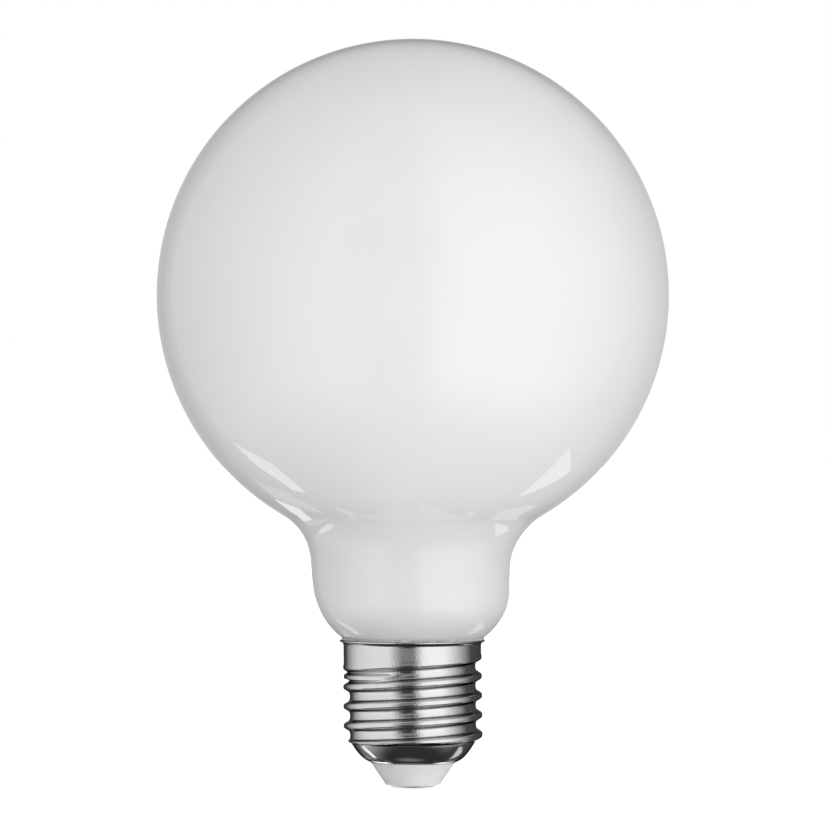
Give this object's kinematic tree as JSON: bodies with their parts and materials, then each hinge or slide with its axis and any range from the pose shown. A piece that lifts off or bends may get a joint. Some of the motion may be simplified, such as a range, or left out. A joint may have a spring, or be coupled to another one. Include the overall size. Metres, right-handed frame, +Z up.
{
  "type": "globe bulb",
  "caption": "Globe light bulb with a ball of opal white glass, a short neck and a plated screw cap with a white insulator and a centre contact.",
  "frame": {"origin": "middle of the centre contact's face, the lowest point of the bulb", "axes": "+Z up along the bulb's axis from the contact to the top of the ball; the front of the picture is on the -Y side, with +X to its right"},
  "size_m": [0.0954, 0.0954, 0.1396],
  "materials": {
    "opal_glass": "glossy opal white, not clear",
    "cement": "fine matt",
    "plated_shell": "nickel plate, semi-polished",
    "white_insulator": "moulded white, low gloss",
    "plated_contact": "tin plate"
  },
  "bodies": {
    "root": {"glass_globe": "opal_glass", "capping_cement": "cement", "screw_shell": "plated_shell", "insulator": "white_insulator", "centre_contact": "plated_contact"}
  },
  "joints": []
}
